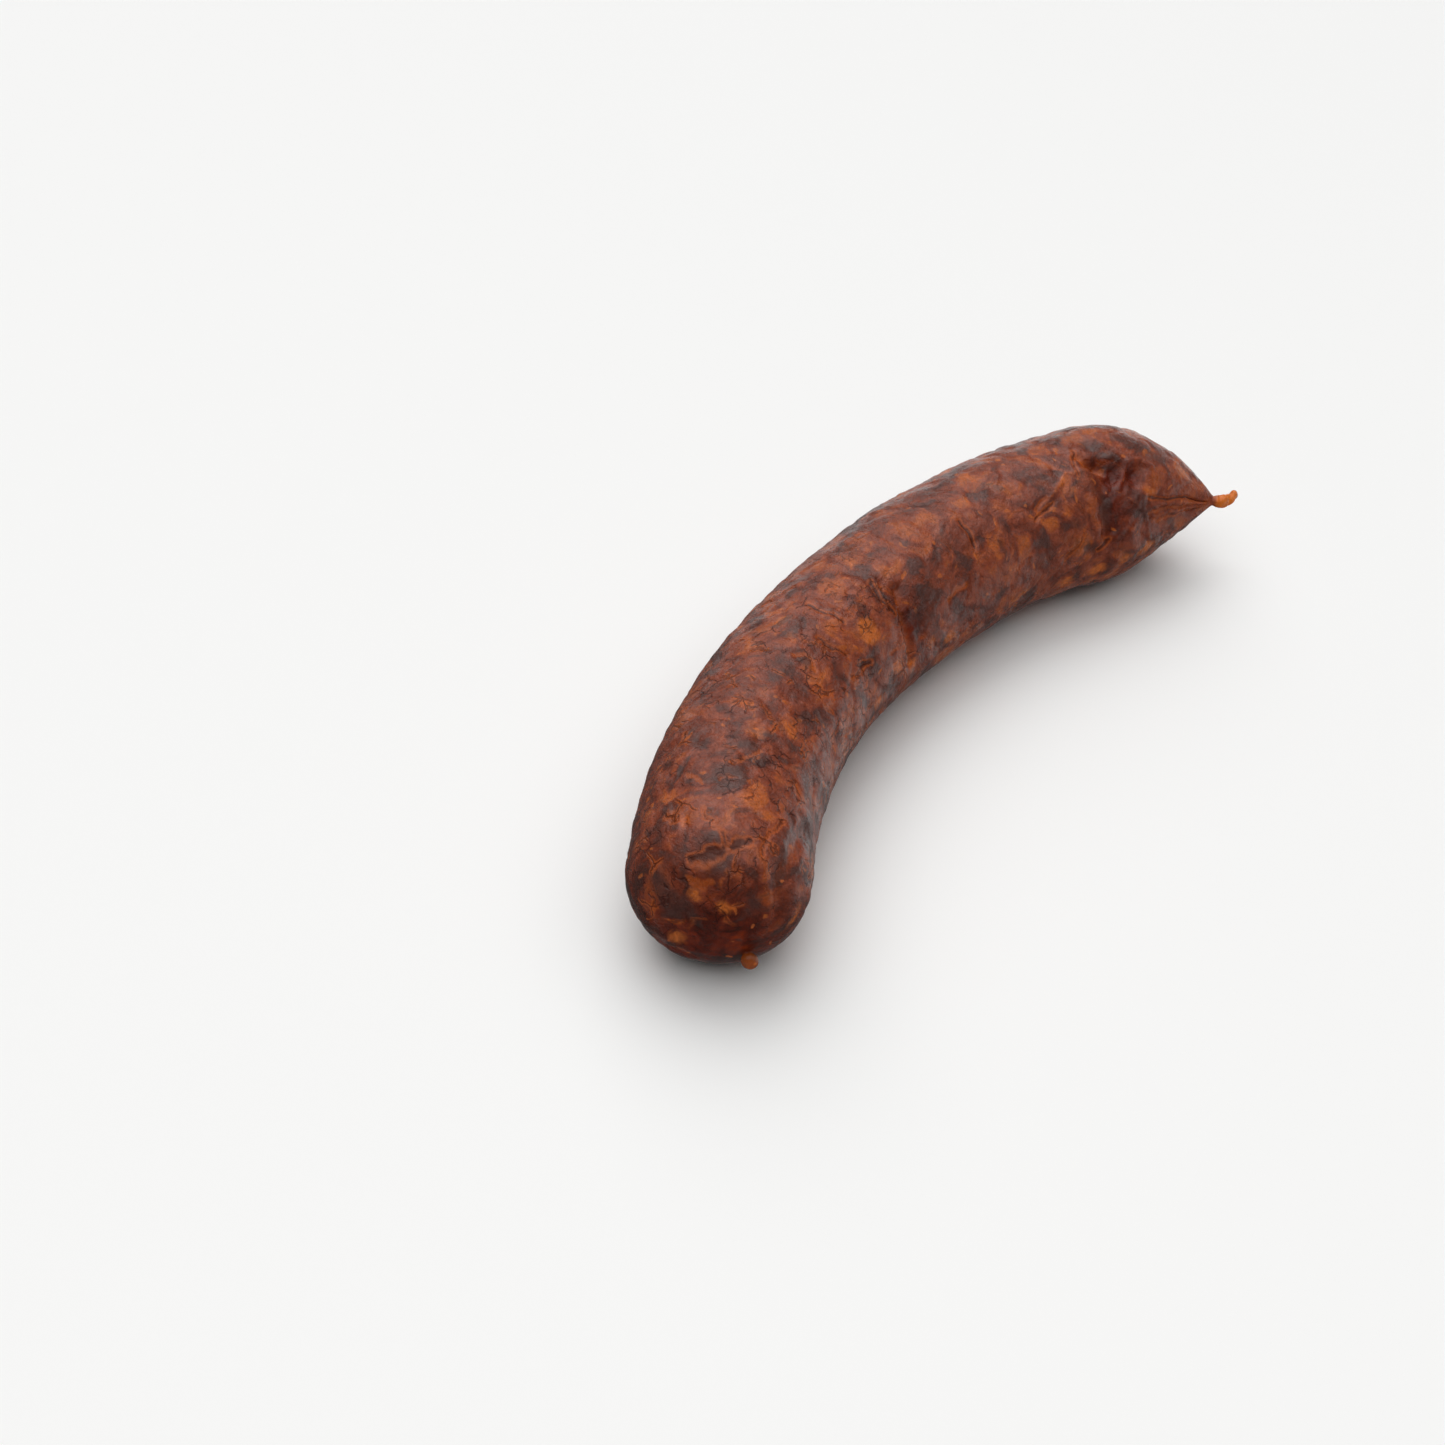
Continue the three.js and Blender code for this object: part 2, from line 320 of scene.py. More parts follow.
class StageSettings(bpy.types.PropertyGroup):
    table: colour_property("Table top", "Colour of the table top", "f4f4f3")
    table_size: length_property("Table size", "Side of the table top", 6.0)
    key: bpy.props.FloatProperty(
        name="Key light",
        description="Strength of the large soft light, which stands behind the sausage",
        default=1.12,
    )
    key_width: bpy.props.FloatProperty(
        name="Key width",
        description="How wide the soft light looks",
        default=math.radians(60),
        subtype="ANGLE",
    )
    ceiling: bpy.props.FloatProperty(
        name="Ceiling light", description="Strength of the light overhead", default=1.36
    )
    walls: bpy.props.FloatProperty(
        name="Wall light", description="Strength of the light from the walls", default=0.04
    )
    lens: bpy.props.FloatProperty(
        name="Lens", description="Focal length on a 36 mm sensor", default=58.6, unit="CAMERA"
    )


# ---- the shape ----


def spine_at(along, length):
    """X, Y and heading of the spine at each place along it."""
    x, y = np.zeros_like(along), np.zeros_like(along)
    heading = math.radians(START_HEADING)
    headings = np.full_like(along, heading)
    start = 0.0
    bends = [(share * length, radius, -1) for share, radius in SPINE_BENDS]
    bends.append((TAIL_TURN_LENGTH, TAIL_TURN_LENGTH / math.radians(TAIL_TURN), 1))
    for bend_length, radius, way in bends:
        turn = way * np.clip(along - start, 0, bend_length) / radius
        x += way * radius * (np.sin(heading + turn) - math.sin(heading))
        y += way * radius * (math.cos(heading) - np.cos(heading + turn))
        headings += turn
        heading += way * bend_length / radius
        start += bend_length
    past = np.maximum(along - start, 0)
    return x + past * math.cos(heading), y + past * math.sin(heading), headings


def bead_radius(along, start, length, radius):
    across = np.clip((along - start) / length, 0, 1)
    return radius * np.sqrt(np.maximum(0, 1 - (2 * across - 1) ** 2))


def straight_radius(along, sizes):
    """The radius of the straight sausage at each place along it, with its knot and its tail."""
    cap, taper, length = sizes.cap_length / MM, sizes.taper_length / MM, sizes.length / MM
    waist = WAIST_DEPTH * np.exp(-(((along - WAIST_AT) / WAIST_REACH) ** 2))
    body = sizes.diameter / MM / 2 - waist
    on_cap = 1 - np.clip(along / cap, 0, 1)
    on_taper = np.clip((along - length + taper) / taper, 0, 1)
    body *= (1 - on_cap**CAP_SQUARENESS) ** (1 / CAP_SQUARENESS)
    body *= 1 - on_taper**TAPER_FULLNESS
    radius = np.maximum(body, NECK_RADIUS)
    knot_length = sizes.knot_length / MM
    knot = bead_radius(along, -knot_length, knot_length, sizes.knot_radius / MM)
    free = along < -knot_length / 2
    radius = np.where(along < 0, np.where(free, knot, np.maximum(knot, NECK_RADIUS)), radius)
    start = length
    for i, (bead_length, bead) in enumerate(TAIL_BEADS):
        here = bead_radius(along, start, bead_length, bead)
        free = (i == len(TAIL_BEADS) - 1) & (along > start + bead_length / 2)
        here = np.where(free, here, np.maximum(here, NECK_RADIUS))
        radius = np.where(along > start, here, radius)
        start += bead_length
    return radius


def ring_places(sizes):
    """Where the rings stand on the straight sausage: evenly over its skin, closer at its ends."""
    length = sizes.length / MM
    first, last = -sizes.knot_length / MM, length + sum(bead[0] for bead in TAIL_BEADS)
    places = first + (last - first) * np.linspace(0, 1, FINE_PLACES)
    radius = straight_radius(places, sizes)
    steps = np.hypot(np.diff(places), np.diff(radius))
    middles = (places[1:] + places[:-1]) / 2
    steps *= np.where((middles < 0.4) | (middles > length - 0.6), END_CROWDING, 1.0)
    run = np.concatenate(([0.0], np.cumsum(steps)))
    return np.interp(np.linspace(0, run[-1], RINGS + 1), run, places)


def lean_to_knot(arm, along, cap, radius):
    """Leans the rings on the blunt end towards the knot, while the end keeps its round shape."""

    def reach(way):
        crosswise = np.hypot(way[:, 0], way[:, 1])
        sums = (np.abs(way[:, 2]) / cap) ** CAP_SQUARENESS + (crosswise / radius) ** CAP_SQUARENESS
        return sums ** (-1 / CAP_SQUARENESS)

    share = np.clip((cap - along) / cap, 0, 1)
    tilt = math.radians(KNOT_TILT) * share * share * (3 - 2 * share)
    side = math.radians(KNOT_SIDE)
    axis = np.array([-math.sin(side), math.cos(side), 0.0])
    size = np.linalg.norm(arm, axis=1)
    way = arm / size[:, None]
    above = size - reach(way)
    cosine, sine = np.cos(tilt)[:, None], np.sin(tilt)[:, None]
    way = way * cosine + np.cross(axis, way) * sine + axis * (way @ axis)[:, None] * (1 - cosine)
    return way * (above + reach(way))[:, None]


def carry(along, side, radius, sizes):
    """Carries places on the straight sausage onto the bent one, in millimetres."""
    cap, body = sizes.cap_length / MM, sizes.diameter / MM / 2
    x, y, heading = spine_at(np.maximum(along, cap), sizes.length / MM)
    arm = np.stack([radius * np.cos(side), radius * np.sin(side), np.maximum(0, cap - along)], 1)
    on_cap = along < cap
    arm[on_cap] = lean_to_knot(arm[on_cap], along[on_cap], cap, body)
    axis_height = math.sqrt(body**2 - (REST_WIDTH / 2) ** 2)
    cosine, sine = np.cos(heading), np.sin(heading)
    return np.stack(
        [
            x - sine * arm[:, 0] - cosine * arm[:, 2],
            y + cosine * arm[:, 0] - sine * arm[:, 2],
            axis_height + arm[:, 1],
        ],
        1,
    )


# ---- the relief of the skin ----


def roughness_field(points, size, seed, octaves=1):
    """A smooth random field over the points, about -1 to 1, with lumps of one size in mm."""
    offset = Vector([seed * step for step in SEED_STEPS])
    places = (Vector(point) / size + offset for point in points)
    return np.array([noise.fractal(place, FIELD_FALL, FIELD_STEP, octaves) for place in places])


def near_patch(along, side, patch):
    place, round_at, length, width, strength = patch
    around = (side - round_at + 180) % 360 - 180
    return strength * np.exp(-(((along - place) / length) ** 2) - (around / width) ** 2)


def near_line(along, side, radius, line, half_width):
    """How near each place is to a line on the skin: 1 on the line, fading over its half width."""
    best = np.full_like(along, 1e9)
    for (a0, s0), (a1, s1) in zip(line, line[1:]):
        run = np.array([a1 - a0, radius * math.radians(s1 - s0)])
        off = np.stack([along - a0, radius * np.radians((side - s0 + 180) % 360 - 180)], 1)
        share = np.clip(off @ run / (run @ run), 0, 1)
        best = np.minimum(best, np.hypot(*(off - share[:, None] * run).T))
    return np.exp(-((best / half_width) ** 2))


def smooth_step(value, low, high):
    share = np.clip((value - low) / (high - low), 0, 1)
    return share * share * (3 - 2 * share)


def relief(points, along, side, sizes):
    """How far the skin stands out at each place, in mm, and how creased, folded and sunk it is."""
    length = sizes.length / MM
    body = sizes.diameter / MM / 2
    on_body = smooth_step(along, 0.5, 5) * (1 - smooth_step(along, length - 9, length - 1))
    sways = [roughness_field(points, SWAY_SIZE, seed, 2) for seed in SWAY_SEEDS]
    swayed, turned = along + SWAY_ALONG * sways[0], side + SWAY_SIDE * sways[1]
    height = np.zeros_like(along)
    for rise, size, seed, octaves in LUMPS:
        height += rise * roughness_field(points, size, seed, octaves)
    ridged = 1 - np.abs(roughness_field(points * VALLEY_STRETCH, VALLEY_SIZE, VALLEY_SEED))
    height -= VALLEYS * smooth_step(ridged, 0.80, 1.0)
    sunk = sum(near_patch(swayed, turned, hollow) for hollow in HOLLOWS)
    height -= sunk
    height += sum(near_patch(swayed, turned, swelling) for swelling in SWELLINGS)
    crumpled = np.abs(roughness_field(points, CRUMPLE_SIZE, CRUMPLE_SEED))
    height += smooth_step(sunk, 0.5, 2.0) * (CRUMPLE * crumpled - CRUMPLE_DROP)
    height *= on_body
    creased = np.zeros_like(along)
    for depth, half_width, line in CREASES:
        near = near_line(swayed, turned, body, line, half_width)
        height -= depth * near
        widths_off = np.sqrt(-np.log(np.maximum(near, 1e-12)))
        lip = np.exp(-(((widths_off - LIP_AT) / LIP_WIDTH) ** 2))
        height += LIP_HEIGHT * min(depth, DARK_DEPTH) * lip
        # Painted shade at the crease's bottom: darkest for deep narrow creases, paler for wide
        # valleys.
        crease_shade = min(1, depth / DARK_DEPTH) * min(1, DARK_HALF_WIDTH / half_width) ** 2
        creased = np.maximum(creased, near * crease_shade)
    folded = np.zeros_like(along)
    for rise, half_width, line in FOLDS:
        near = near_line(swayed, turned, body, line, half_width)
        height += rise * near
        folded = np.maximum(folded, near * (half_width < THIN_FOLD))
    round_body = np.radians(side)
    spread = roughness_field(points, SPREAD_SIZE, SPREAD_SEED)
    from_tip = length - along
    pleats = np.cos(TAIL_PLEAT_COUNT * round_body + TAIL_PLEAT_WANDER * spread)
    pleats *= smooth_step(from_tip, 0, 3) * smooth_step(from_tip, 1, 9)
    height += TAIL_PLEATS * pleats * (1 - smooth_step(from_tip, 4, TAIL_PLEAT_REACH))
    pleats = np.cos(KNOT_PLEAT_COUNT * round_body + KNOT_PLEAT_WANDER * spread)
    pleats *= smooth_step(along, 0.2, 2)
    height += KNOT_PLEATS * pleats * (1 - smooth_step(along, 3, KNOT_PLEAT_REACH))
    past_tip = along - length
    height += TAIL_SWELL * (past_tip > 0.5)
    height += COLLAR * np.exp(-(((past_tip - COLLAR_AT) / COLLAR_REACH) ** 2))
    slanted = RIPPLE_COUNT * np.radians(turned) + RIPPLE_SLANT * along
    ripples = np.cos(slanted + RIPPLE_WANDER * spread)
    height += RIPPLES * near_patch(swayed, turned, RIPPLE_PATCH) * ripples
    return sizes.wrinkling * height, creased, folded, np.clip(sunk / FULLY_SUNK, 0, 1)


def skin_mesh(sizes):
    """The whole skin: a ball carried ring by ring to the sausage's shape, then given its relief."""
    ball = bmesh.new()
    bmesh.ops.create_uvsphere(ball, u_segments=SIDES, v_segments=RINGS, radius=1.0)
    mesh = bpy.data.meshes.new(NODE + "_skin")
    ball.to_mesh(mesh)
    ball.free()
    count = len(mesh.vertices)
    flat = np.empty(count * 3)
    mesh.vertices.foreach_get("co", flat)
    ball_points = flat.reshape(-1, 3)
    off_axis = np.hypot(ball_points[:, 0], ball_points[:, 1])
    from_pole = np.arctan2(off_axis, -ball_points[:, 2]) / math.pi
    along = ring_places(sizes)[np.rint(from_pole * RINGS).astype(int)]
    side = np.arctan2(ball_points[:, 1], ball_points[:, 0])
    pole = (from_pole < 0.5 / RINGS) | (from_pole > 1 - 0.5 / RINGS)
    length = sizes.length / MM
    radius = straight_radius(along, sizes)
    past_tip = along - length
    twist = TWIST * np.cos(2 * side + past_tip * TWIST_PER_MM) * (past_tip > 0)
    nip = NIP * np.exp(-(((past_tip - NIP_AT) / NIP_REACH) ** 2))
    radius = np.where(pole, 1e-6, radius * (1 + twist - nip))
    points = carry(along, side, radius, sizes)
    middle = (points.min(0) + points.max(0)) / 2
    points[:, :2] -= middle[:2]
    mesh.vertices.foreach_set("co", points.ravel())
    mesh.update()
    normals = np.empty(count * 3)
    mesh.vertices.foreach_get("normal", normals)
    normals = normals.reshape(-1, 3)
    degrees = np.degrees(side) % 360
    height, creased, folded, sunk = relief(points, along, degrees, sizes)
    points += normals * height[:, None]
    points[:, 2] = np.maximum(points[:, 2], 0)
    mesh.vertices.foreach_set("co", (points * MM).ravel())
    mesh.update()
    # The knot is casing over a little meat, and the tail is casing alone.
    bare = KNOT_BARE * (1 - smooth_step(along, -0.9, 0.2)) + smooth_step(past_tip, -0.8, 0.4)
    fat = FOLD_FAT * folded + sum(near_patch(along, degrees, patch) for patch in FAT_PATCHES)
    # Painted shade: the sunk hollows and the listed patches darken and redden the colour, and lower
    # the roughness.
    painted_shade = sunk + sum(near_patch(along, degrees, patch) for patch in PAINTED_SHADE_PATCHES)
    lean = sum(near_patch(along, degrees, patch) for patch in LEAN_PATCHES)
    cracked = CRACKED_LEAST + (1 - CRACKED_LEAST) * (1 - smooth_step(along, *CRACKED_FADE))
    cracked *= smooth_step(along, 0.5, 3)
    layers = {"creased": creased, "painted_shade": painted_shade, "bare": bare}
    layers.update({"fat": fat, "lean": lean, "cracked": cracked})
    for name, values in layers.items():
        layer = mesh.attributes.new(name, "FLOAT", "POINT")
        layer.data.foreach_set("value", np.clip(values, 0, 1).astype(np.float32))
    mesh.shade_smooth()
    return mesh


# ---- the material ----

NOISE, CELLS = "ShaderNodeTexNoise", "ShaderNodeTexVoronoi"
MATHS, VECTORS = "ShaderNodeMath", "ShaderNodeVectorMath"
BLEND, RANGE = "ShaderNodeMix", "ShaderNodeMapRange"
MULTIPLY, MULTIPLY_ADD = {"operation": "MULTIPLY"}, {"operation": "MULTIPLY_ADD"}
MAXIMUM = {"operation": "MAXIMUM"}
COLOURS = {"data_type": "RGBA"}
SMOOTH = {"interpolation_type": "SMOOTHSTEP"}
# Sockets that are known by number, because their names repeat on the node.
FROM_MIN, FROM_MAX, TO_MIN, TO_MAX = 1, 2, 3, 4
SHARE, COLOUR_A, COLOUR_B, BLENDED = 0, 6, 7, 2
NUMBER_A, NUMBER_B = 2, 3

# ---- the sizes of the patterns in the meat and on the casing, in millimetres ----
LUMP_SIZE = 4.6
SOFT_SIZE = 4.5
CRUMB_SIZE = 2.4
DRY_SIZE = 6.5
GRAIN_SIZE = 1.2
CRACKS = ((7.5, 0.30, 0.0, True), (3.6, 0.20, 40.0, False))  # spacing, half width, seed, with lips
CRACKED_AREA = 6.5
WRINKLE_SIZE = 1.6
PEBBLE_SIZE = 0.55
SATIN_SIZE = 5

# ---- what the patterns do ----
STUFFING_DRAG = ((10, 11), (2.6, 2.6))  # size and amount of each drawing-out of the meat
CRACK_DRAG = (3.4, 3.6)
WRINKLE_DRAG = (4, 5)
LUMP_SHARE, SOFT_SHARE = 0.42, 0.74  # what lumps and soft streaks add to the kind of meat
CRUMB_PICK = 0.87  # the share of the crumbs that is not fat
CRUMB_STRENGTH, DRY_STRENGTH, GRAIN_STRENGTH = 0.72, 0.62, 0.75
FAT_CLEARED = 0.3  # how much of the casing's colour lies over a patch of fat
FAT_STRENGTH, LEAN_STRENGTH = 0.88, 0.7
CRACK_CORE = 0.3  # in half widths of the crack: where it is full, and then where its lips are
CRACK_LIPS = (0.8, 3.2)
LIP_STRENGTH, CRACK_STRENGTH, CREASE_SHADE_STRENGTH = 0.58, 0.62, 0.85
WRINKLE_HEIGHT, PEBBLE_HEIGHT, CRACK_HEIGHT = 0.60, 0.07, -0.30
SATIN_SPREAD = 0.14  # how far the roughness wanders to either side
DEEP_SHINE = -0.12  # less rough where the painted shade lies

# ---- the room, seen in the gloss and by the camera ----
ROOM_PALE_WAY = (1.0, 0.0, 0.9)
ROOM_DIM, ROOM_PALE, ROOM_SEEN = 0.10, 0.85, 0.92


def add_node(tree, kind, settings=None, inputs=None, output=0):
    """Adds a node and gives back one of its outputs. An input takes a value, or a socket's link."""
    node = tree.nodes.new(kind)
    for name, value in (settings or {}).items():
        setattr(node, name, value)
    for name, value in (inputs or {}).items():
        if isinstance(value, bpy.types.NodeSocket):
            tree.links.new(value, node.inputs[name])
        else:
            node.inputs[name].default_value = value
    return node.outputs[output] if node.outputs else None


def mix_colours(first, second, share):
    return tuple(a + (b - a) * share for a, b in zip(first, second))


def drag(tree, place, size, amount):
    """Moves the places that a pattern is read at by a soft random amount, which draws it out."""
    away = add_node(tree, NOISE, None, {"Vector": place, "Scale": 1 / size, "Detail": 2.0}, "Color")
    return add_node(tree, VECTORS, MULTIPLY_ADD, {0: away, 1: (amount,) * 3, 2: place})


def meat_pattern(tree, place, looks):
    """The chopped meat under the casing: lumps of 4 to 8 mm, drawn out as they were stuffed, with
    soft edges, crumbs of fat of 1 to 2 mm, dry dark spots, and a grain of about 1 mm. The hollows,
    the valleys and the shaded places are painted darker and redder, as painted shade. Gives back
    the colour, and the mask of the painted shade."""
    dragged = place
    for size, amount in STUFFING_DRAG:
        dragged = drag(tree, dragged, size, amount)

    # Lean, paprika-red and fat lumps, from dark to pale.
    lumps = {"Vector": dragged, "Scale": 1 / LUMP_SIZE, "Smoothness": 0.75}
    lumps = add_node(tree, CELLS, {"feature": "SMOOTH_F1"}, lumps, "Color")
    lump = add_node(tree, "ShaderNodeSeparateColor", None, {0: lumps})
    lump = add_node(tree, MATHS, MULTIPLY, {0: lump, 1: LUMP_SHARE})
    soft = {"Vector": dragged, "Scale": 1 / SOFT_SIZE, "Detail": 5.0, "Roughness": 0.62}
    soft = add_node(tree, NOISE, None, soft)
    kind = add_node(tree, MATHS, MULTIPLY_ADD, {0: soft, 1: SOFT_SHARE, 2: lump})
    colour = add_node(tree, "ShaderNodeValToRGB", None, {0: kind})
    ramp = colour.node.color_ramp
    stops = (
        (0.38, mix_colours(looks.dark, looks.lean, 0.3)),
        (0.50, looks.lean),
        (0.63, looks.paprika),
        (0.76, mix_colours(looks.paprika, looks.fat, 0.45)),
        (0.90, looks.fat),
    )
    while len(ramp.elements) < len(stops):
        ramp.elements.new(0.5)
    for element, (position, stop_colour) in zip(ramp.elements, stops):
        element.position = position
        element.color = stop_colour

    # Painted shade: the hollows, the valleys and the shaded places are multiplied darker and
    # redder.
    painted_shade = add_node(tree, "ShaderNodeAttribute", {"attribute_name": "painted_shade"}, None, "Fac")
    stain = {"data_type": "RGBA", "blend_type": "MULTIPLY"}
    mixed = {SHARE: painted_shade, COLOUR_A: colour, COLOUR_B: looks.painted_shade}
    colour = add_node(tree, BLEND, stain, mixed, BLENDED)

    # A few crumbs of fat.
    crumbs = add_node(tree, CELLS, None, {"Vector": dragged, "Scale": 1 / CRUMB_SIZE}, "Distance")
    close = {"Value": crumbs, FROM_MIN: 0.22, FROM_MAX: 0.36}
    close = add_node(tree, RANGE, SMOOTH, {**close, TO_MIN: CRUMB_STRENGTH, TO_MAX: 0.0})
    pick = add_node(tree, "ShaderNodeSeparateColor", None, {0: crumbs.node.outputs["Color"]}, 1)
    picked = add_node(tree, MATHS, {"operation": "GREATER_THAN"}, {0: pick, 1: CRUMB_PICK})
    crumb = add_node(tree, MATHS, MULTIPLY, {0: close, 1: picked})
    mixed = {SHARE: crumb, COLOUR_A: colour, COLOUR_B: looks.fat}
    colour = add_node(tree, BLEND, COLOURS, mixed, BLENDED)

    # Dry dark spots.
    dry = add_node(tree, NOISE, None, {"Vector": dragged, "Scale": 1 / DRY_SIZE, "Detail": 4.0})
    dry = {"Value": dry, FROM_MIN: 0.58, FROM_MAX: 0.70}
    dry = add_node(tree, RANGE, SMOOTH, {**dry, TO_MIN: 0.0, TO_MAX: DRY_STRENGTH})
    mixed = {SHARE: dry, COLOUR_A: colour, COLOUR_B: looks.dark}
    colour = add_node(tree, BLEND, COLOURS, mixed, BLENDED)

    # The mapped patches of fat and of dark lean, with ragged edges.
    ragged = {"Vector": dragged, "Scale": 1 / CRUMB_SIZE, "Detail": 4.0}
    ragged = add_node(tree, NOISE, None, ragged)
    clear_fat = mix_colours(looks.fat, looks.casing, FAT_CLEARED)
    patches = (("fat", clear_fat, FAT_STRENGTH), ("lean", looks.dark, LEAN_STRENGTH))
    for name, patch_colour, strength in patches:
        patch = add_node(tree, "ShaderNodeAttribute", {"attribute_name": name}, None, "Fac")
        patch = add_node(tree, MATHS, MULTIPLY, {0: patch, 1: ragged})
        patch = {"Value": patch, FROM_MIN: 0.12, FROM_MAX: 0.46, TO_MIN: 0.0, TO_MAX: strength}
        patch = add_node(tree, RANGE, SMOOTH, patch)
        mixed = {SHARE: patch, COLOUR_A: colour, COLOUR_B: patch_colour}
        colour = add_node(tree, BLEND, COLOURS, mixed, BLENDED)

    grain = {"Vector": dragged, "Scale": 1 / GRAIN_SIZE, "Detail": 5.0, "Roughness": 0.7}
    grain = add_node(tree, NOISE, None, grain)
    overlay = {"data_type": "RGBA", "blend_type": "OVERLAY"}
    mixed = {SHARE: GRAIN_STRENGTH, COLOUR_A: colour, COLOUR_B: grain}
    return add_node(tree, BLEND, overlay, mixed, BLENDED), painted_shade


def crack_pattern(tree, place):
    """Short cracks in the dried casing, 3 to 10 mm long and about half a millimetre wide. Gives
    back how near each place is to a crack, and to the turned-up lips of the larger ones."""
    wandering = drag(tree, place, *CRACK_DRAG)
    cracked = add_node(tree, "ShaderNodeAttribute", {"attribute_name": "cracked"}, None, "Fac")
    lines, lips = [], []
    for spacing, width, seed, with_lips in CRACKS:
        edge = {"Vector": wandering, "Scale": 1 / spacing}
        edge = add_node(tree, CELLS, {"feature": "DISTANCE_TO_EDGE"}, edge)
        elsewhere = add_node(tree, VECTORS, {"operation": "ADD"}, {0: place, 1: (seed, seed, 0)})
        here = {"Vector": elsewhere, "Scale": 1 / CRACKED_AREA, "Detail": 2.0}
        here = add_node(tree, NOISE, None, here)
        here = {"Value": here, FROM_MIN: 0.53, FROM_MAX: 0.62, TO_MIN: 0.0, TO_MAX: 1.0}
        here = add_node(tree, RANGE, SMOOTH, here)
        here = add_node(tree, MATHS, MULTIPLY, {0: here, 1: cracked})
        bands = [(lines, CRACK_CORE * width, width)]
        if with_lips:
            bands.append((lips, *(at * width for at in CRACK_LIPS)))
        for kept, near, far in bands:
            band = {"Value": edge, FROM_MIN: near / spacing, FROM_MAX: far / spacing}
            band = add_node(tree, RANGE, SMOOTH, {**band, TO_MIN: 1.0, TO_MAX: 0.0})
            kept.append(add_node(tree, MATHS, MULTIPLY, {0: band, 1: here}))
    return add_node(tree, MATHS, MAXIMUM, {0: lines[0], 1: lines[1]}), lips[0]


def cured_casing_material(looks):
    """Natural casing dried onto coarse paprika pork. The casing is thin and clear, so the chopped
    meat and fat show through it, and its own surface gives a satin gloss over fine wrinkles."""
    material = bpy.data.materials.new("natural_casing_over_paprika_pork")
    material.use_nodes = True
    tree = material.node_tree
    tree.nodes.clear()
    coords = add_node(tree, "ShaderNodeTexCoord", output="Object")
    place = add_node(tree, "ShaderNodeMapping", None, {"Vector": coords, "Scale": (1 / MM,) * 3})
    colour, painted_shade = meat_pattern(tree, place, looks)

    # Cracks and creases are dark red at the bottom, partly their own colour and partly painted
    # shade that deepens with a crease's depth, and orange along their lips.
    crack, lip = crack_pattern(tree, place)
    creased = add_node(tree, "ShaderNodeAttribute", {"attribute_name": "creased"}, None, "Fac")
    crease_lip = {"Value": creased, FROM_MIN: 0.06, FROM_MAX: 0.45, TO_MIN: 0.0, TO_MAX: 1.0}
    crease_lip = add_node(tree, RANGE, SMOOTH, crease_lip)
    crease = {"Value": creased, FROM_MIN: 0.36, FROM_MAX: 0.82}
    crease = add_node(tree, RANGE, SMOOTH, {**crease, TO_MIN: 0.0, TO_MAX: CREASE_SHADE_STRENGTH})
    lip = add_node(tree, MATHS, MAXIMUM, {0: lip, 1: crease_lip})
    lip = add_node(tree, MATHS, MULTIPLY, {0: lip, 1: LIP_STRENGTH})
    line = add_node(tree, MATHS, MULTIPLY, {0: crack, 1: CRACK_STRENGTH})
    line = add_node(tree, MATHS, MAXIMUM, {0: line, 1: crease})
    mixed = {SHARE: lip, COLOUR_A: colour, COLOUR_B: looks.lip}
    colour = add_node(tree, BLEND, COLOURS, mixed, BLENDED)
    mixed = {SHARE: line, COLOUR_A: colour, COLOUR_B: looks.crease}
    colour = add_node(tree, BLEND, COLOURS, mixed, BLENDED)

    # The knot and the tail are nearly all casing: clear, and stained orange.
    bare = add_node(tree, "ShaderNodeAttribute", {"attribute_name": "bare"}, None, "Fac")
    mixed = {SHARE: bare, COLOUR_A: colour, COLOUR_B: looks.casing}
    colour = add_node(tree, BLEND, COLOURS, mixed, BLENDED)

    # Relief too fine for the mesh: wrinkles of 1 to 3 mm, pebbles of half a millimetre, the cracks.
    wrinkles = {"Vector": drag(tree, place, *WRINKLE_DRAG), "Scale": 1 / WRINKLE_SIZE}
    wrinkles = add_node(tree, NOISE, None, {**wrinkles, "Detail": 5.0, "Roughness": 0.62})
    pebbles = add_node(tree, NOISE, None, {"Vector": place, "Scale": 1 / PEBBLE_SIZE})
    height = add_node(tree, MATHS, MULTIPLY, {0: pebbles, 1: PEBBLE_HEIGHT})
    height = add_node(tree, MATHS, MULTIPLY_ADD, {0: wrinkles, 1: WRINKLE_HEIGHT, 2: height})
    height = add_node(tree, MATHS, MULTIPLY_ADD, {0: crack, 1: CRACK_HEIGHT, 2: height})
    bump = {"Strength": 1.0, "Distance": MM, "Height": height}
    bump = add_node(tree, "ShaderNodeBump", None, bump)

    # A satin gloss that wanders, and is less rough where the painted shade lies.
    satin = add_node(tree, NOISE, None, {"Vector": place, "Scale": 1 / SATIN_SIZE, "Detail": 3.0})
    satin = {"Value": satin, FROM_MIN: 0.35, FROM_MAX: 0.65}
    satin[TO_MIN], satin[TO_MAX] = looks.roughness - SATIN_SPREAD, looks.roughness + SATIN_SPREAD
    satin = add_node(tree, RANGE, SMOOTH, satin)
    satin = add_node(tree, MATHS, MULTIPLY_ADD, {0: painted_shade, 1: DEEP_SHINE, 2: satin})
    finish = {
        "Base Color": colour,
        "Roughness": satin,
        "Normal": bump,
        "IOR": 1.40,
        "Specular IOR Level": 0.32,
        "Coat Weight": 0.22,
        "Coat Roughness": 0.12,
        "Coat IOR": 1.45,
        "Subsurface Weight": 0.08,
        "Subsurface Radius": (1.0, 0.35, 0.15),
        "Subsurface Scale": 0.0012,
    }
    shader = add_node(tree, "ShaderNodeBsdfPrincipled", None, finish)
    add_node(tree, "ShaderNodeOutputMaterial", None, {"Surface": shader})
    return material


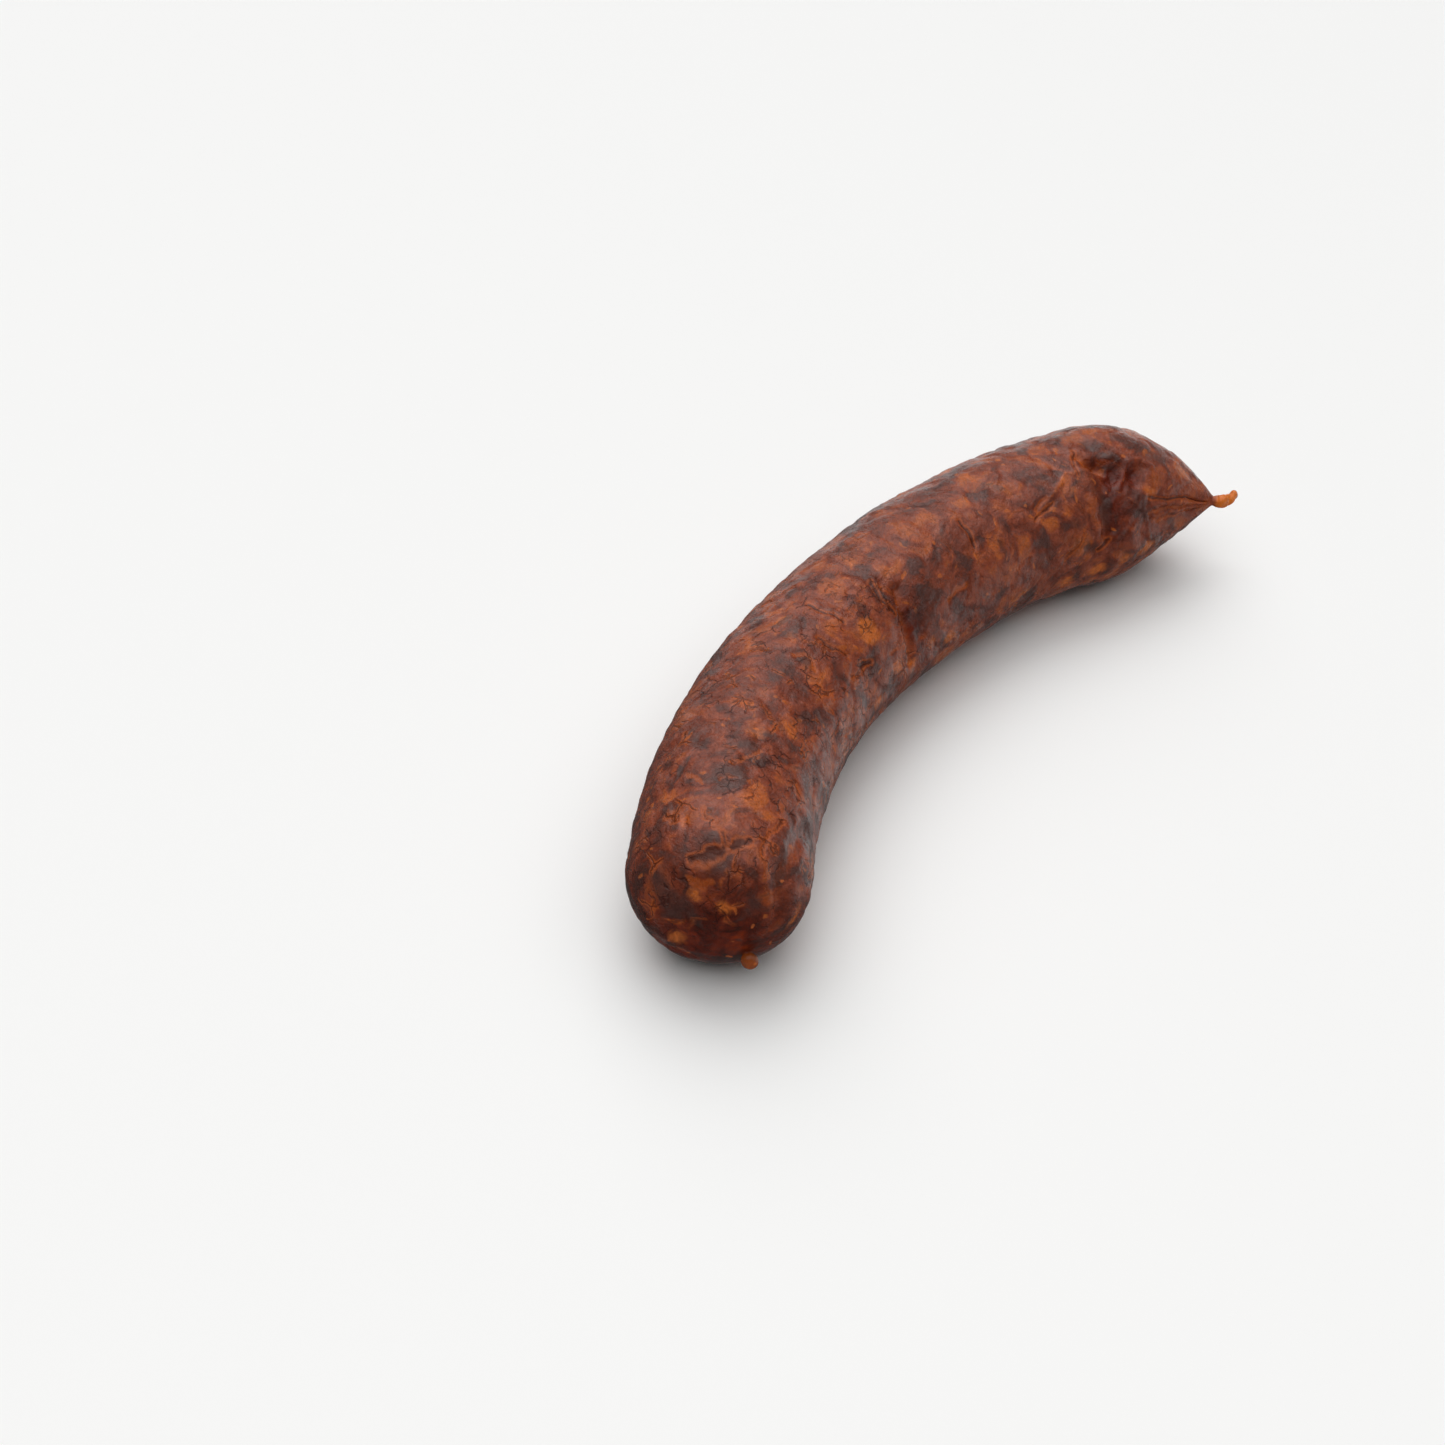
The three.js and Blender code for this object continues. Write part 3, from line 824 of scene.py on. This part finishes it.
def table_material(stage):
    """Matt white laminate: an even, faintly warm white with no gloss to speak of."""
    material = bpy.data.materials.new("matt_white_laminate")
    material.use_nodes = True
    tree = material.node_tree
    tree.nodes.clear()
    finish = {"Base Color": stage.table, "Roughness": 0.6, "Specular IOR Level": 0.25}
    shader = add_node(tree, "ShaderNodeBsdfPrincipled", None, finish)
    add_node(tree, "ShaderNodeOutputMaterial", None, {"Surface": shader})
    return material


def studio_room(stage):
    """A white room lit from its ceiling: bright overhead, dim at the walls, and pale to look at.
    The half below the horizon is what the casing's gloss mirrors in place of the table: pale far
    out to the right, and dim underneath and at the front."""
    world = bpy.data.worlds.new("studio_room")
    world.use_nodes = True
    tree = world.node_tree
    tree.nodes.clear()
    way = add_node(tree, "ShaderNodeTexCoord", output="Generated")
    up = add_node(tree, "ShaderNodeSeparateXYZ", None, {0: way}, "Z")
    above = {"Value": up, FROM_MIN: 0.50, FROM_MAX: 0.86}
    above = add_node(tree, RANGE, SMOOTH, {**above, TO_MIN: stage.walls, TO_MAX: stage.ceiling})
    along_pale = {"operation": "DOT_PRODUCT"}
    right = add_node(tree, VECTORS, along_pale, {0: way, 1: ROOM_PALE_WAY}, "Value")
    below = {"Value": right, FROM_MIN: 0.02, FROM_MAX: 0.45, TO_MIN: ROOM_DIM, TO_MAX: ROOM_PALE}
    below = add_node(tree, RANGE, SMOOTH, below)
    under = add_node(tree, MATHS, {"operation": "LESS_THAN"}, {0: up, 1: 0.0})
    light = add_node(tree, BLEND, None, {SHARE: under, NUMBER_A: above, NUMBER_B: below})
    seen = add_node(tree, "ShaderNodeLightPath", output="Is Camera Ray")
    strength = add_node(tree, BLEND, None, {SHARE: seen, NUMBER_A: light, NUMBER_B: ROOM_SEEN})
    white = {"Color": (1, 1, 1, 1), "Strength": strength}
    background = add_node(tree, "ShaderNodeBackground", None, white)
    add_node(tree, "ShaderNodeOutputWorld", None, {"Surface": background})
    return world


# ---- the operators ----


def add_object(name, data):
    thing = bpy.data.objects.new(name, data)
    bpy.context.scene.collection.objects.link(thing)
    return thing


class SAUSAGE_OT_body(bpy.types.Operator):
    """Builds the sausage: its skin, with the knot and the tail, and its casing's finish"""

    bl_idname = "sausage.body"
    bl_label = "Cured sausage"

    def execute(self, context):
        mesh = skin_mesh(context.scene.sausage_sizes)
        mesh.materials.append(cured_casing_material(context.scene.sausage_looks))
        sausage = add_object("sausage_body", mesh)
        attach(sausage, "root")
        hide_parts(NODE)
        return {"FINISHED"}


class SAUSAGE_OT_stage(bpy.types.Operator):
    """Builds the table top, the soft light and the camera"""

    bl_idname = "sausage.stage"
    bl_label = "Table, light and camera"

    CAMERA_AT = (-0.3490, -0.2575, 0.3831)
    CAMERA_RIGHT = (0.70343, -0.70964, 0.04013)
    CAMERA_UP = (0.45694, 0.49474, 0.73921)
    KEY_FROM = (0.35, 0.62, 0.85)
    SENSOR_WIDTH = 36  # millimetres
    NEAREST_SEEN = 0.01
    TABLE_DROP = -0.00005  # keeps the table top and the flat underside from lying in one plane

    def execute(self, context):
        stage = context.scene.sausage_stage
        surface = bmesh.new()
        bmesh.ops.create_grid(surface, x_segments=1, y_segments=1, size=stage.table_size / 2)
        bmesh.ops.translate(surface, verts=surface.verts, vec=(0, 0, self.TABLE_DROP))
        mesh = bpy.data.meshes.new("table_top")
        surface.to_mesh(mesh)
        surface.free()
        mesh.materials.append(table_material(stage))
        table = add_object("table_top", mesh)
        table.visible_glossy = False  # the gloss mirrors the lower half of the room instead
        key = bpy.data.lights.new("key_light", "SUN")
        key.energy = stage.key
        key.angle = stage.key_width
        lamp = add_object("key_light", key)
        lamp.rotation_euler = Vector(self.KEY_FROM).to_track_quat("Z", "Y").to_euler()
        context.scene.world = studio_room(stage)
        context.scene.view_settings.view_transform = "Standard"
        right, up = Vector(self.CAMERA_RIGHT), Vector(self.CAMERA_UP)
        turn = Matrix((right, up, right.cross(up))).transposed()
        lens = bpy.data.cameras.new("camera")
        lens.lens = stage.lens
        lens.sensor_width = self.SENSOR_WIDTH
        lens.clip_start = self.NEAREST_SEEN
        camera = add_object("camera", lens)
        camera.matrix_world = Matrix.Translation(self.CAMERA_AT) @ turn.to_4x4()
        context.scene.camera = camera
        return {"FINISHED"}


class SAUSAGE_PT_panel(bpy.types.Panel):
    bl_label = "Cured Sausage"
    bl_idname = "SAUSAGE_PT_panel"
    bl_space_type = "VIEW_3D"
    bl_region_type = "UI"
    bl_category = "Cured Sausage"

    def draw(self, context):
        scene = context.scene
        for group in (scene.sausage_sizes, scene.sausage_looks, scene.sausage_stage):
            box = self.layout.box()
            for name in group.__annotations__:
                box.prop(group, name)
        for operator in (SAUSAGE_OT_body, SAUSAGE_OT_stage):
            self.layout.operator(operator.bl_idname)


CLASSES = (
    SausageSizes,
    SausageLooks,
    StageSettings,
    SAUSAGE_OT_body,
    SAUSAGE_OT_stage,
    SAUSAGE_PT_panel,
)


def register():
    for added in CLASSES:
        bpy.utils.register_class(added)
    bpy.types.Scene.sausage_sizes = bpy.props.PointerProperty(type=SausageSizes)
    bpy.types.Scene.sausage_looks = bpy.props.PointerProperty(type=SausageLooks)
    bpy.types.Scene.sausage_stage = bpy.props.PointerProperty(type=StageSettings)


def unregister():
    del bpy.types.Scene.sausage_stage
    del bpy.types.Scene.sausage_looks
    del bpy.types.Scene.sausage_sizes
    for added in reversed(CLASSES):
        bpy.utils.unregister_class(added)


def main():
    register()
    bpy.ops.sausage.body()
    bpy.ops.sausage.stage()


if __name__ == "__main__":
    main()
